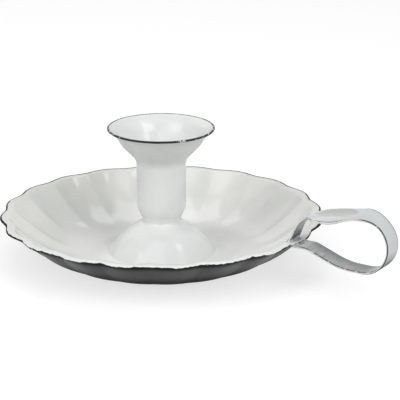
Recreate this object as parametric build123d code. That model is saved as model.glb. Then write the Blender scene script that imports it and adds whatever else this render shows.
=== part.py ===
from build123d import *
import math
import os

# An enamelled sheet-steel chamberstick with a finger loop, in millimetres.
# The origin is the centre of the pan's foot, on the table. +Z is up, along the candle.
# +X points along the handle. Every sheet is measured with both coats of enamel on it.

# Pan: a fluted tray with a narrow lip turned out level round its rim
rim_radius = 82.0           # centre to the crest of a lobe
rim_height = 23.4           # table to the top of the lip
lip_width = 3.5             # how far the lip stands out past the wall
lip_bend = 0.9              # rounding where the wall turns into the lip
pan_sheet = 1.2
foot_radius = 32.0          # flat disc that stands on the table
flute_count = 20
flute_depth = 1.9           # crest to notch, at the rim
flute_start = 36.0          # radius on the floor where the flutes begin
flute_full = 74.0           # radius where they reach their full depth
flute_sharpness = 1.57      # 2 is a plain wave, 1 is a row of round arches
lobe_turn = 2.9             # degrees from the handle to the middle of its lobe
vent_radius = 1.5           # lets hot air out from under the pedestal in the kiln
vent_reach = 12.0           # centre of the pan to the vent

# Candle socket: a drawn cup with a ball-shaped bottom
socket_radius = 12.6
socket_sheet = 1.1
ball_height = 29.5          # table to the centre of the ball-shaped bottom

# Drip cup: the flared funnel round the candle, butt welded to the socket's tube
drip_cup_radius = 27.3
drip_cup_height = 67.6      # table to its rim
flare_height = 51.6         # table to where the funnel's side would meet the tube's
flare_bend = 6.0
throat_radius = 20.2        # the funnel's side turns steeper here
throat_height = 59.7
throat_bend = 10.0
brim_radius = 23.6          # and flattens out towards the rim here
brim_height = 64.8
brim_bend = 8.0
drip_cup_neck = 1.0         # straight part below the bend
drip_cup_round = 0.3        # rounding of the rim's edges

# Pedestal: a bell on the pan's floor, with a short collar that the socket's ball rests in
collar_radius = 9.9
collar_length = 1.2
collar_bend = 1.4
pedestal_sheet = 1.0
belly_radius = 19.4         # the side turns steeper here
belly_drop = 6.3            # collar's lower end down to that turn
belly_bend = 40.0
pedestal_foot_radius = 30.6
foot_flange = 2.1           # level edge of the foot
foot_bend = 3.0

# Handle: one band bent into a loop whose two ends take hold of the lip
strap_sheet = 1.0
strap_width = 11.2
loop_length = 49.0          # rim to the outer face of the loop
loop_rise = 19.6            # top of the lip to the top of the upper arm
loop_drop = 8.6             # top of the lip to the underside of the lower arm
landing_inset = 5.1         # rim in to where the upper leg comes down, just inside the lip
landing_sink = 0.9          # how far the leg reaches down past the top of the lip
landing_width = 10.6
leg_width = 8.0             # the leg's narrow top, below the shoulder
leg_lean = 23.0             # degrees that the leg leans out from upright
shoulder_bend = 14.0
crown_run = 27.2            # start of the loop's end bend back to the start of the crown's
crown_bend = 88.0           # the long easy bend of the upper arm
dip_run = 25.5              # outer face of the loop back to where the lower arm starts to climb
dip_bend = 36.0
tuck_inset = 2.4            # rim in to the end of the lower arm
tuck_run = 5.5              # rim out to where the lower arm levels out under the lip
tuck_bend = 8.0
thumb_width = 20.8
thumb_start = 46.0          # outer face of the loop back to where the band widens for the thumb
thumb_full_start = 38.0     # and to where it has its full width
thumb_full_end = 25.0       # and to where it begins to narrow again
thumb_end = 5.0             # and to where it is back to its plain width
thumb_run = 30.0            # outer face of the loop back to the middle of the thumb rest
roll_run = 28.0             # length over which the edges are rolled down
thumb_roll = 2.0            # how far they are rolled down
roll_sharpness = 7          # a higher power keeps more of the width flat
oval_length = 22.5          # the oval pressed into the thumb rest
oval_width = 14.0
thumb_press = 0.8           # how deep it is pressed

# Joints and fits
floor_clearance = 0.12      # pedestal's foot above the pan's floor, closed by the seam
ball_clearance = 0.12       # socket's ball above the collar, closed by the braze
neck_gap = 0.8              # socket's tube to the drip cup's neck, filled by the weld
seam_leg = 1.0              # legs of the seam round the pedestal's foot
seam_clearance = 0.03       # the pan's floor is not quite true where the seam runs
braze_height = 1.5          # how far the braze climbs up the ball
weld_run = 3.2              # how far the upper bead runs in over the pan's wall
weld_rise = 2.4             # how high it climbs up the band
tuck_weld_reach = 4.2       # how far the lower bead reaches in to the pan's wall
tuck_weld_sag = 0.8
bead_end_inset = 0.8        # the beads stop this far short of the band's edges

# Sizes that follow from the ones above
lip_underside = rim_height - pan_sheet
wall_run = rim_radius - lip_width - foot_radius
bowl_bend = (wall_run ** 2 + lip_underside ** 2) / (2 * lip_underside)
collar_top = ball_height - math.sqrt(
    (socket_radius + ball_clearance) ** 2 - (collar_radius - pedestal_sheet) ** 2)
flare_slope = math.atan2(throat_height - flare_height, throat_radius - socket_radius)
neck_height = flare_height - flare_bend * math.tan((math.pi / 2 - flare_slope) / 2) - drip_cup_neck
loop_reach = rim_radius + loop_length
loop_top = rim_height + loop_rise
loop_bottom = rim_height - loop_drop
loop_bend = (loop_top - loop_bottom) / 2
landing_reach = rim_radius - landing_inset
crown_turn = math.asin(crown_run / crown_bend)
crown_reach = loop_reach - loop_bend - crown_run
crown_height = loop_top - crown_bend * (1 - math.cos(crown_turn))
crown_slope = math.tan(crown_turn)
leg_slope = math.tan(math.radians(leg_lean))
shoulder_rise = (crown_height - rim_height - crown_slope * (crown_reach - landing_reach)) / (
    1 - crown_slope * leg_slope)


def ease(value, start, end):
    """0 before start, 1 past end, and a smooth rise in between."""
    share = min(1.0, max(0.0, (value - start) / (end - start)))
    return share ** 2 * (3 - 2 * share)


def flute_ring(radius, height):
    """A level closed face with one wave for each flute, or a round one where the flutes have faded out."""
    points_per_flute = 6
    steps = points_per_flute * flute_count
    depth = flute_depth * ease(radius, flute_start, flute_full)
    points = []
    for step in range(steps):
        angle = 2 * math.pi * step / steps
        wave = abs(math.cos(flute_count * angle / 2)) ** flute_sharpness
        reach = radius - depth * (1 - wave)
        turned = angle + math.radians(lobe_turn)
        points.append(Vector(reach * math.cos(turned), reach * math.sin(turned), height))
    return make_face(Wire([Edge.make_spline(points, periodic=True)]))


def bowl_form(inset, top_height):
    """The pan's bowl as a filled form, whose surface lies inside the pan's outer surface by inset."""
    steps = 8
    bend = bowl_bend - inset
    top_turn = math.acos((bowl_bend - top_height) / bend)
    rings = []
    for step in range(steps + 1):
        turn = top_turn * step / steps
        radius = foot_radius + bend * math.sin(turn)
        height = bowl_bend - bend * math.cos(turn)
        rings.append(flute_ring(radius, height))
    return loft(rings)


def floor_height(radius):
    """Height of the pan's upper face at a radius inside the flutes."""
    run = max(0.0, radius - foot_radius)
    return bowl_bend - math.sqrt((bowl_bend - pan_sheet) ** 2 - run ** 2)


def make_pan(bowl):
    overshoot = 0.8
    lip = extrude(flute_ring(rim_radius, lip_underside), pan_sheet)
    hollow = bowl_form(pan_sheet, rim_height + overshoot)
    vent = Pos(-vent_reach, 0, 0) * Cylinder(vent_radius, 4 * pan_sheet)
    pan = bowl + lip - hollow - vent
    lip_top = pan.faces().sort_by(Axis.Z)[-1]
    return fillet(lip_top.edges().sort_by(SortBy.LENGTH)[0], lip_bend)


def spin(*lines):
    """A solid of revolution round the candle's axis, from a closed outline of radius and height."""
    return revolve(make_face(Plane.XZ * (Curve() + list(lines))), Axis.Z)


def spin_sheet(path, sheet, side):
    """Sheet metal spun to a path of radius and height, with its thickness on one side of the path."""
    outline = offset(path, sheet, side=side, closed=True)
    return revolve(make_face(Plane.XZ * outline), Axis.Z)


def make_pedestal():
    foot_top = floor_height(pedestal_foot_radius) + floor_clearance + pedestal_sheet
    collar_foot = collar_top - collar_length
    path = FilletPolyline(
        (collar_radius, collar_top),
        (collar_radius, collar_foot),
        (belly_radius, collar_foot - belly_drop),
        (pedestal_foot_radius - foot_flange, foot_top),
        (pedestal_foot_radius, foot_top),
        radius=[collar_bend, belly_bend, foot_bend],
    )
    return spin_sheet(path, pedestal_sheet, Side.RIGHT)


def make_foot_seam():
    outer = pedestal_foot_radius + seam_leg
    low = floor_height(pedestal_foot_radius) + seam_clearance
    outer_low = floor_height(outer) + seam_clearance
    top = low + seam_leg - seam_clearance
    return spin(Polyline(
        (pedestal_foot_radius, low), (outer, outer_low), (pedestal_foot_radius, top), close=True))


def make_candle_socket():
    bore = socket_radius - socket_sheet
    tube_top = neck_height - neck_gap
    half = math.sqrt(0.5)
    return spin(
        ThreePointArc(
            (0, ball_height - socket_radius),
            (half * socket_radius, ball_height - half * socket_radius),
            (socket_radius, ball_height)),
        Polyline(
            (socket_radius, ball_height),
            (socket_radius, tube_top),
            (bore, tube_top),
            (bore, ball_height)),
        ThreePointArc((bore, ball_height), (half * bore, ball_height - half * bore), (0, ball_height - bore)),
        Line((0, ball_height - bore), (0, ball_height - socket_radius)),
    )


def make_socket_braze(socket):
    braze_top = collar_top + braze_height
    ball_reach = math.sqrt(socket_radius ** 2 - (ball_height - braze_top) ** 2)
    ring = spin(Polyline(
        (collar_radius - pedestal_sheet, collar_top),
        (collar_radius, collar_top),
        (ball_reach, braze_top),
        close=True))
    return ring - socket


def make_drip_cup():
    path = FilletPolyline(
        (socket_radius, neck_height),
        (socket_radius, flare_height),
        (throat_radius, throat_height),
        (brim_radius, brim_height),
        (drip_cup_radius, drip_cup_height),
        radius=[flare_bend, throat_bend, brim_bend],
    )
    cup = spin_sheet(path, socket_sheet, Side.LEFT)
    rim_edges = cup.edges().filter_by(GeomType.CIRCLE).sort_by(SortBy.RADIUS)[-2:]
    return fillet(rim_edges, drip_cup_round)


def make_drip_cup_seam():
    bore = socket_radius - socket_sheet
    low = neck_height - neck_gap
    return spin(Polyline(
        (bore, low),
        (socket_radius, low),
        (socket_radius, neck_height),
        (bore, neck_height),
        close=True))


def upper_path():
    """The band's outer face, from its landing inside the lip to the middle of the loop's end bend."""
    buried = 2 * landing_sink
    leg = FilletPolyline(
        (landing_reach - buried * leg_slope, rim_height - buried),
        (landing_reach + shoulder_rise * leg_slope, rim_height + shoulder_rise),
        (crown_reach, crown_height),
        radius=shoulder_bend)
    crown = TangentArc(
        (crown_reach, crown_height),
        (loop_reach - loop_bend, loop_top),
        tangent=(math.cos(crown_turn), math.sin(crown_turn)))
    half_bend = TangentArc(
        (loop_reach - loop_bend, loop_top), (loop_reach, loop_top - loop_bend), tangent=(1, 0))
    return Plane.XZ * Wire(leg.edges() + crown.edges() + half_bend.edges())


def lower_path():
    """The band's outer face, from the middle of the end bend back to its end under the lip."""
    tuck = lip_underside - strap_sheet
    half_bend = TangentArc(
        (loop_reach, loop_top - loop_bend), (loop_reach - loop_bend, loop_bottom), tangent=(0, -1))
    lower_arm = FilletPolyline(
        (loop_reach - loop_bend, loop_bottom),
        (loop_reach - dip_run, loop_bottom),
        (rim_radius + tuck_run, tuck),
        (rim_radius - tuck_inset, tuck),
        radius=[dip_bend, tuck_bend])
    return Wire(half_bend.edges() + lower_arm.edges())


def strap_width_at(spot):
    """The band's width, which grows from the narrow leg to the thumb rest and falls to the loop's."""
    from_outside = loop_reach - spot.X
    to_landing = max(0.0, 1 - (spot.Z - rim_height) / shoulder_rise)
    leg = leg_width + (landing_width - leg_width) * to_landing
    widened = leg + (thumb_width - leg) * ease(-from_outside, -thumb_start, -thumb_full_start)
    return widened - (thumb_width - strap_width) * ease(-from_outside, -thumb_full_end, -thumb_end)


def strap_section(spot, heading):
    """The band's outline across the upper arm, which is widened, rolled and pressed at the thumb rest."""
    half_width = strap_width_at(spot) / 2
    off_centre = abs(loop_reach - thumb_run - spot.X)
    roll = thumb_roll * (1 + math.cos(math.pi * min(1.0, 2 * off_centre / roll_run))) / 2
    steps = 12
    outer = []
    for step in range(steps + 1):
        share = math.sin(math.pi * (step / steps - 0.5))
        across = share * half_width
        in_oval = (2 * off_centre / oval_length) ** 2 + (2 * across / oval_width) ** 2
        sink = roll * abs(share) ** roll_sharpness + thumb_press * max(0.0, 1 - in_oval)
        outer.append(Vector(across, -sink))
    inner = [point - Vector(0, strap_sheet) for point in reversed(outer)]
    outline = Wire([Spline(*outer), Line(outer[-1], inner[0]), Spline(*inner), Line(inner[-1], outer[0])])
    return Plane(origin=spot, x_dir=(0, 1, 0), z_dir=heading) * make_face(outline)


def make_handle_strap(pan):
    path = upper_path()
    steps = 28
    sections = [strap_section(path @ (step / steps), path % (step / steps)) for step in range(steps + 1)]
    below_landing = Pos(landing_reach, 0, rim_height - landing_sink - strap_width) * Box(
        2 * strap_width, 2 * strap_width, 2 * strap_width)
    upper_arm = loft(sections) - below_landing - pan
    profile = make_face(Plane.XZ * offset(lower_path(), strap_sheet, side=Side.RIGHT, closed=True))
    lower_arm = extrude(profile, strap_width / 2, both=True)
    return upper_arm + lower_arm


def make_upper_weld(pan, strap):
    toe = landing_reach - weld_run
    low = floor_height(toe) - pan_sheet / 2
    bead = make_face(Plane.XZ * Polyline(
        (landing_reach + strap_sheet, low),
        (toe, low),
        (landing_reach + weld_rise * leg_slope, rim_height + weld_rise),
        close=True))
    pieces = extrude(bead, landing_width / 2 - bead_end_inset, both=True) - pan - strap
    return pieces.solids().sort_by(Axis.Z)[-1]


def make_lower_weld(bowl):
    end = rim_radius - tuck_inset
    low = lip_underside - strap_sheet
    bead = make_face(Plane.XZ * Polyline(
        (end, lip_underside),
        (end, low),
        (end - tuck_weld_reach, low - tuck_weld_sag),
        (end - tuck_weld_reach, lip_underside),
        close=True))
    return extrude(bead, strap_width / 2 - bead_end_inset, both=True) - bowl


def main():
    os.makedirs("parts", exist_ok=True)
    bowl = bowl_form(0, lip_underside)
    pan = make_pan(bowl)
    socket = make_candle_socket()
    strap = make_handle_strap(pan)
    nodes = {
        "pan": pan,
        "pedestal": make_pedestal(),
        "pedestal_foot_seam": make_foot_seam(),
        "candle_socket": socket,
        "socket_braze": make_socket_braze(socket),
        "drip_cup": make_drip_cup(),
        "drip_cup_seam": make_drip_cup_seam(),
        "handle_strap": strap,
        "strap_weld_upper": make_upper_weld(pan, strap),
        "strap_weld_lower": make_lower_weld(bowl),
    }
    for name, shape in nodes.items():
        export_step(shape, f"parts/{name}.step")
        print(name, shape.is_valid, len(shape.solids()), round(shape.volume, 2))


main()
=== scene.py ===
# %% [markdown]
# # An enamelled chamberstick with a finger loop
# A chamberstick is the small candle holder that people carried up to bed: a dished pan that
# catches the wax, a socket for the candle, and a loop for one finger. This one is pressed and
# spun from thin sheet steel and coated with glass enamel, white inside and dark underneath.
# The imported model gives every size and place. Each visible piece is modelled again here at a
# finer grain, so that the glossy coat shows clean highlights, and takes its CAD node's place.

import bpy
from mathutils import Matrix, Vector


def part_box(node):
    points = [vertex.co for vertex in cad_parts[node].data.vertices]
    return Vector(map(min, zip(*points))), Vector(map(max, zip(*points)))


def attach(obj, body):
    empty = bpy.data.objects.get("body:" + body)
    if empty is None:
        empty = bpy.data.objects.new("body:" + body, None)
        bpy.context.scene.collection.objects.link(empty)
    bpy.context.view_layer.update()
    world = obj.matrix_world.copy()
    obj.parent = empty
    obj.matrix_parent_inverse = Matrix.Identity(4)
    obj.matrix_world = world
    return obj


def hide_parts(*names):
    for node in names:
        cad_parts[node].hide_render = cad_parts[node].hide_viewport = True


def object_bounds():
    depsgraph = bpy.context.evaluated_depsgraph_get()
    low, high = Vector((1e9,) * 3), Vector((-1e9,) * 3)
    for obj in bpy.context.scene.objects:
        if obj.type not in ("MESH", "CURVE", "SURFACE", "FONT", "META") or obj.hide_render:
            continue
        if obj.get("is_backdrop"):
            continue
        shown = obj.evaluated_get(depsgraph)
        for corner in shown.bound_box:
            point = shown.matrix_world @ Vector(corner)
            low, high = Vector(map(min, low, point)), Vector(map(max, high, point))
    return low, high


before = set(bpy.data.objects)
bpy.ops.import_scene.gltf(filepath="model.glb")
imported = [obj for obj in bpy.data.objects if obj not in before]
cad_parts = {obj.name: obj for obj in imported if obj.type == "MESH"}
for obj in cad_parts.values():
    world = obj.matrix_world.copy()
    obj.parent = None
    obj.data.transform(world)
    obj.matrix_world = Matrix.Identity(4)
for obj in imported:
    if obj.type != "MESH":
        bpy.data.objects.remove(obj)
cad_box = [list(corner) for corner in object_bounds()]

import math

import bmesh
import bpy
from mathutils import Vector
from mathutils.noise import seed_set, turbulence_vector

mm = 0.001
print("nodes:", sorted(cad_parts))

# %% [markdown]
# ## Sizes
# A size that a node's box states is read from the frame, so the looks follow the CAD model.
# The others are the press tools' own sizes, repeated from the part's source in millimetres.

# %% Read the main sizes from the frame
rim_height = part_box("pan")[1].z
socket_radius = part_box("candle_socket")[1].x
socket_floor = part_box("candle_socket")[0].z
tube_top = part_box("candle_socket")[1].z
neck_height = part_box("drip_cup")[0].z
collar_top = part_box("pedestal")[1].z
pedestal_foot_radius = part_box("pedestal")[1].x
loop_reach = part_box("handle_strap")[1].x
loop_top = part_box("handle_strap")[1].z
loop_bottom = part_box("handle_strap")[0].z
rim_radius = 82.0 * mm
lip_width = 3.5 * mm
pan_sheet = 1.2 * mm
foot_radius = 32.0 * mm
vent_radius = 1.5 * mm
vent_reach = 12.0 * mm
lip_underside = rim_height - pan_sheet
print("rim height", round(rim_height / mm, 2), "socket radius", round(socket_radius / mm, 2))
print("loop reach", round(loop_reach / mm, 2), "loop top", round(loop_top / mm, 2))

# %% [markdown]
# ## One way to draw every section
# Sheet ware is all thin walls joined by rounded bends, so every piece here starts as a
# section: corners in order, each with the radius its bend has. This helper turns such a list
# into closely spaced points. Doing it once keeps all the bends equally smooth.

# %% Round the corners of a section
def round_corners(corners, closed=True, steps_per_quarter=9):
    """Points of a section, from corners given as (across, up, bend radius)."""
    points = []
    count = len(corners)
    for index, (across, up, bend) in enumerate(corners):
        here = Vector((across, up))
        at_end = not closed and index in (0, count - 1)
        if bend == 0 or at_end:
            points.append(here)
            continue
        before = Vector(corners[index - 1][:2])
        after = Vector(corners[(index + 1) % count][:2])
        arriving = (here - before).normalized()
        leaving = (after - here).normalized()
        turn = arriving.angle(leaving)
        setback = bend * math.tan(turn / 2)
        inward = (leaving - arriving).normalized()
        centre = here + inward * bend / math.cos(turn / 2)
        spoke = here - arriving * setback - centre
        side = 1 if arriving.cross(leaving) > 0 else -1
        steps = max(2, math.ceil(turn / (math.pi / 2) * steps_per_quarter))
        for step in range(steps + 1):
            swing = side * turn * step / steps
            turned = Vector((
                spoke.x * math.cos(swing) - spoke.y * math.sin(swing),
                spoke.x * math.sin(swing) + spoke.y * math.cos(swing)))
            points.append(centre + turned)
    return points


def arc_corners(centre, radius, start, end, steps):
    """Corners without bends along an arc, in degrees, for the long sweeps of a bowl or a ball."""
    corners = []
    for step in range(steps + 1):
        turn = math.radians(start + (end - start) * step / steps)
        corners.append((
            centre[0] + radius * math.cos(turn), centre[1] + radius * math.sin(turn), 0))
    return corners


# %% [markdown]
# ## Spinning
# A spinner presses a disc of sheet over a turning form, and that is close to what this does:
# it sweeps a closed section round the candle's axis. Blender's Screw modifier could do it
# too, but building the mesh by hand lets each ring carry a number along: how far it lies from
# the edge of the sheet, measured over the surface. The enamel needs that number later, for
# the dark line along the rim and for the chips beside it.

# %% Spin a section into a closed shell
def add_object(name, data):
    """A new object in the scene, at the origin."""
    thing = bpy.data.objects.new(name, data)
    bpy.context.scene.collection.objects.link(thing)
    return thing


def to_mesh(name, work):
    """The finished mesh of a shape that was built point by point."""
    mesh = bpy.data.meshes.new(name)
    work.to_mesh(mesh)
    work.free()
    return mesh


def rim_distances(points, edge_at):
    """How far each point of a section lies from the point nearest edge_at, along the section."""
    start = min(range(len(points)), key=lambda index: (points[index] - edge_at).length)
    distances = [0.0] * len(points)
    for direction in (1, -1):
        travelled = 0.0
        for step in range(1, len(points) // 2 + 1):
            here = (start + direction * step) % len(points)
            last = (start + direction * (step - 1)) % len(points)
            travelled += (points[here] - points[last]).length
            distances[here] = direction * travelled
    return distances


def spin(name, points, steps, distances=None, sideways=None):
    """A shell swept round Z from a closed section. Points on the axis become single vertices."""
    shell = bmesh.new()
    layer = shell.verts.layers.float.new("from_edge")
    rings = []
    for index, point in enumerate(map(Vector, points)):
        ring = []
        shift = sideways(point.x) if sideways else 0.0
        for step in range(1 if point.x == 0 else steps):
            angle = 2 * math.pi * step / steps
            vertex = shell.verts.new((
                shift + point.x * math.cos(angle), point.x * math.sin(angle), point.y))
            vertex[layer] = distances[index] if distances else 1.0
            ring.append(vertex)
        rings.append(ring)
    for ring, above in zip(rings, rings[1:] + rings[:1]):
        if len(ring) == 1 and len(above) == 1:
            continue
        for step in range(steps):
            following = (step + 1) % steps
            corners = [
                ring[step % len(ring)], ring[following % len(ring)],
                above[following % len(above)], above[step % len(above)]]
            shell.faces.new(list(dict.fromkeys(corners)))
    bmesh.ops.recalc_face_normals(shell, faces=shell.faces)
    return finish_mesh(name, to_mesh(name, shell))


def finish_mesh(name, mesh, sharp_degrees=42):
    """Smooth shading with crisp corners, in a new object of that name."""
    for polygon in mesh.polygons:
        polygon.use_smooth = True
    mesh.set_sharp_from_angle(angle=math.radians(sharp_degrees))
    print(name, "faces", len(mesh.polygons))
    return add_object(name, mesh)


# %% [markdown]
# ## A small kit for node trees
# Geometry trees and materials are built in code here. Long formulas are hard to read as one
# call per node, so this helper adds a node, fills its inputs with numbers or with other
# nodes' outputs, and hands back its first output. The ones after it are the few kinds of
# node that the formulas use over and over. An output knows which tree it belongs to, so
# they find the tree by themselves.

# %% Add one node and wire its inputs
def add(tree, kind, *inputs, output=0, **settings):
    """Adds a node. Inputs are numbers, sockets or None, in the order of the node's own inputs."""
    node = tree.nodes.new(kind)
    for setting, value in settings.items():
        setattr(node, setting, value)
    sockets = [socket for socket in node.inputs if socket.enabled]
    for socket, value in zip(sockets, inputs):
        if value is not None:
            feed(socket, value)
    return node.outputs[output] if output is not None else node


def is_socket(value):
    return isinstance(value, bpy.types.NodeSocket)


def tree_of(*values):
    """The node tree of the first of these values that is a node's output."""
    return next(value.id_data for value in values if is_socket(value))


def feed(socket, value):
    """Gives an input a number, or the output of another node."""
    if is_socket(value):
        socket.id_data.links.new(value, socket)
    else:
        socket.default_value = value


def calc(operation, *inputs, clamp=False):
    """A Math node."""
    return add(tree_of(*inputs), "ShaderNodeMath", *inputs, operation=operation, use_clamp=clamp)


def times(first, *others):
    """The product of several numbers."""
    for other in others:
        first = calc("MULTIPLY", first, other)
    return first


def minus(first, second):
    """A difference, also of two plain numbers."""
    if is_socket(first) or is_socket(second):
        return calc("SUBTRACT", first, second)
    return first - second


def vector_calc(operation, *inputs):
    """A Vector Math node."""
    output = 1 if operation in ("LENGTH", "DOT_PRODUCT") else 0
    tree = tree_of(*inputs)
    return add(tree, "ShaderNodeVectorMath", *inputs, operation=operation, output=output)


def scaled(vector, factor):
    """A vector times a number."""
    node = add(tree_of(vector), "ShaderNodeVectorMath", vector, operation="SCALE", output=None)
    feed(node.inputs["Scale"], factor)
    return node.outputs[0]


def split(vector):
    """The X, Y and Z of a vector."""
    return add(tree_of(vector), "ShaderNodeSeparateXYZ", vector, output=None).outputs


def join(x, y, z):
    """A vector from its X, Y and Z."""
    return add(tree_of(x, y, z), "ShaderNodeCombineXYZ", x, y, z)


def ramp(value, low, high):
    """0 at low, 1 at high, with a soft step between."""
    return add(
        tree_of(value), "ShaderNodeMapRange", value, low, high, 0.0, 1.0,
        interpolation_type="SMOOTHSTEP")


def stretch(value, start, full, ebb, end):
    """1 from full to ebb, 0 before start and past end, with soft steps between."""
    return times(ramp(value, start, full), ramp(value, end, ebb))


def between(share, first, second):
    """A number a share of the way from first to second."""
    return calc("MULTIPLY_ADD", minus(second, first), share, first)


def noise(place, scale, detail=2.0, roughness=0.5):
    """Noise from 0 to 1 over the given coordinates, with its scale in waves per metre."""
    return add(
        tree_of(place), "ShaderNodeTexNoise", place, scale, detail, roughness,
        noise_dimensions="3D", normalize=True)


# %% [markdown]
# A geometry tree has to declare its inputs. A modifier then runs it on a piece with the
# sizes filled in, and the result is kept as a plain mesh, with nothing left to evaluate.

# %% Declare a geometry tree and run it
def geometry_tree(name, sizes):
    """A geometry tree with a mesh input and one named number input for each size."""
    tree = bpy.data.node_groups.new(name, "GeometryNodeTree")
    tree.interface.new_socket("Geometry", in_out="INPUT", socket_type="NodeSocketGeometry")
    for size in sizes:
        tree.interface.new_socket(size, in_out="INPUT", socket_type="NodeSocketFloat")
    tree.interface.new_socket("Material", in_out="INPUT", socket_type="NodeSocketMaterial")
    tree.interface.new_socket("Geometry", in_out="OUTPUT", socket_type="NodeSocketGeometry")
    return tree, tree.nodes.new("NodeGroupInput").outputs


def run_tree(piece, tree, values):
    """Runs the tree on a piece with these inputs, and returns the result as a plain mesh."""
    modifier = piece.modifiers.new(tree.name, "NODES")
    modifier.node_group = tree
    for item in tree.interface.items_tree:
        if item.in_out == "INPUT" and item.name in values:
            modifier[item.identifier] = values[item.name]
    bpy.context.view_layer.update()
    shown = bpy.context.evaluated_depsgraph_get()
    mesh = bpy.data.meshes.new_from_object(piece.evaluated_get(shown))
    piece.modifiers.remove(modifier)
    mesh.name = piece.name
    return mesh


# %% [markdown]
# ## White enamel
# Vitreous enamel is powdered glass melted onto steel. It is opaque white with a clear glossy
# skin, never quite flat: it pulls into a faint orange-peel ripple, its tone drifts a little,
# and old ware has fine specks where grit burnt in. Each of these is one function here, so
# all the enamels share them. They read the Object coordinates, which are metres in the
# part's own frame, so neighbouring pieces carry on one pattern across their joints. The
# ground coat is duller than the white: the skin loses its gloss where is_dull says so.

# %% Steps that every enamel shares
grit_brown = (0.30, 0.27, 0.23, 1.0)
ripple_strength = 0.12
ripple_height = 0.35 * mm


def blend(share, first, second):
    """A colour mixed from two colours."""
    node = tree_of(share, first, second).nodes.new("ShaderNodeMix")
    node.data_type = "RGBA"
    for index, value in ((0, share), (6, first), (7, second)):
        feed(node.inputs[index], value)
    return node.outputs[2]


def start_enamel(name):
    """A new material, and the coordinates that its patterns follow."""
    material = bpy.data.materials.new(name)
    material.use_nodes = True
    return material, add(material.node_tree, "ShaderNodeTexCoord", output="Object")


def drifting_white(place, light, deep):
    """Opaque white glass whose tone drifts slowly where the coat is thicker or thinner."""
    drift = ramp(noise(place, 38.0, 3.0), 0.36, 0.68)
    return blend(drift, light, deep)


def specks(place, colour):
    """Burnt-in grit: a rare small brown-grey speck."""
    grit = ramp(noise(place, 620.0, 1.0), 0.80, 0.84)
    return blend(times(grit, 0.4), colour, grit_brown)


def finish_enamel(place, colour, gloss, is_dull=0.0):
    """The colour under a glossy skin with an orange-peel ripple, pinholes and gloss smears."""
    tree = tree_of(place)
    smear = noise(place, 55.0, 4.0, 0.6)
    rough = add(tree, "ShaderNodeMapRange", smear, 0.3, 0.7, gloss, gloss + 0.06)
    rough = calc("MULTIPLY_ADD", is_dull, 0.26, rough)
    shine = add(
        tree, "ShaderNodeMath", is_dull, -0.32, 0.5, operation="MULTIPLY_ADD", use_clamp=True)
    peel = noise(place, 170.0, 2.0, 0.45)
    pinholes = ramp(noise(place, 1150.0, 0.0), 0.73, 0.80)
    bump = tree.nodes.new("ShaderNodeBump")
    bump.inputs["Strength"].default_value = ripple_strength
    bump.inputs["Distance"].default_value = ripple_height
    feed(bump.inputs["Height"], minus(peel, times(pinholes, 0.35)))
    for name, value in (
            ("Base Color", colour), ("Roughness", rough), ("Specular IOR Level", shine),
            ("Normal", bump.outputs[0]), ("IOR", 1.5)):
        feed(tree.nodes["Principled BSDF"].inputs[name], value)


def surface_number(material, name):
    """A number that the mesh carries at each point, read in a material."""
    return add(
        material.node_tree, "ShaderNodeAttribute", attribute_type="GEOMETRY",
        attribute_name=name, output="Fac")


def ragged(place, distance, reach):
    """The distance from an edge, made uneven by reach, so that a coat's border wanders."""
    wander = minus(noise(place, 210.0, 3.0, 0.65), 0.5)
    return calc("MULTIPLY_ADD", wander, reach, distance)


# %% [markdown]
# ### White enamel with a dark rim line
# The socket, the drip cup and the pedestal are white all over. Along a free edge the white
# draws back as it melts and the near-black ground coat shows, as a line about as wide as the
# sheet is thick, with a few nicks where the white has chipped beside it. The pedestal's foot
# takes on the pan's warmer white, because the two were dipped as one.

# %% White enamel
enamel_white = (0.80, 0.81, 0.80, 1.0)
enamel_deep = (0.74, 0.76, 0.755, 1.0)
pan_white = (0.78, 0.785, 0.755, 1.0)
pan_deep = (0.72, 0.73, 0.70, 1.0)
nicked_white = (0.60, 0.62, 0.62, 1.0)
ground_black = (0.018, 0.018, 0.020, 1.0)
rim_line = 0.95 * mm


def make_white_enamel():
    material, place = start_enamel("white_enamel")
    across, along, up = split(place)
    radius = vector_calc("LENGTH", join(across, along, 0.0))
    on_foot = times(ramp(radius, 24 * mm, 31 * mm), ramp(up, 9 * mm, 6 * mm))
    own_white = drifting_white(place, enamel_white, enamel_deep)
    foot_white = drifting_white(place, pan_white, pan_deep)
    colour = specks(place, blend(on_foot, own_white, foot_white))
    from_edge = calc("ABSOLUTE", surface_number(material, "from_edge"))
    border = ragged(place, from_edge, 0.5 * mm)
    in_line = ramp(border, rim_line + 0.12 * mm, rim_line)
    colour = blend(in_line, colour, ground_black)
    chips = ramp(noise(place, 330.0, 2.0, 0.7), 0.60, 0.64)
    nicked = times(chips, ramp(from_edge, 1.5 * mm, 0.5 * mm))
    colour = blend(nicked, colour, nicked_white)
    finish_enamel(place, colour, 0.07, is_dull=in_line)
    return material


white_enamel = make_white_enamel()
print("made", white_enamel.name)

# %% [markdown]
# ### The pan's two coats
# Inside, the pan has the same white, a little warmer with age. Outside it keeps the dark
# coat, which is duller and has a faint mottle. Low down and just under the lip it is painted
# nearly black, as painted shade, and the table has scuffed a ring into it under the foot.

# %% The dark coat of the underside
dark_coat = (0.050, 0.050, 0.051, 1.0)
dark_coat_worn = (0.074, 0.073, 0.072, 1.0)
shade_black = (0.009, 0.009, 0.010, 1.0)
mottled_shade_black = (0.017, 0.017, 0.017, 1.0)
scuffed_coat = (0.15, 0.145, 0.14, 1.0)
scuff_radius = foot_radius - 1.5 * mm


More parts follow.
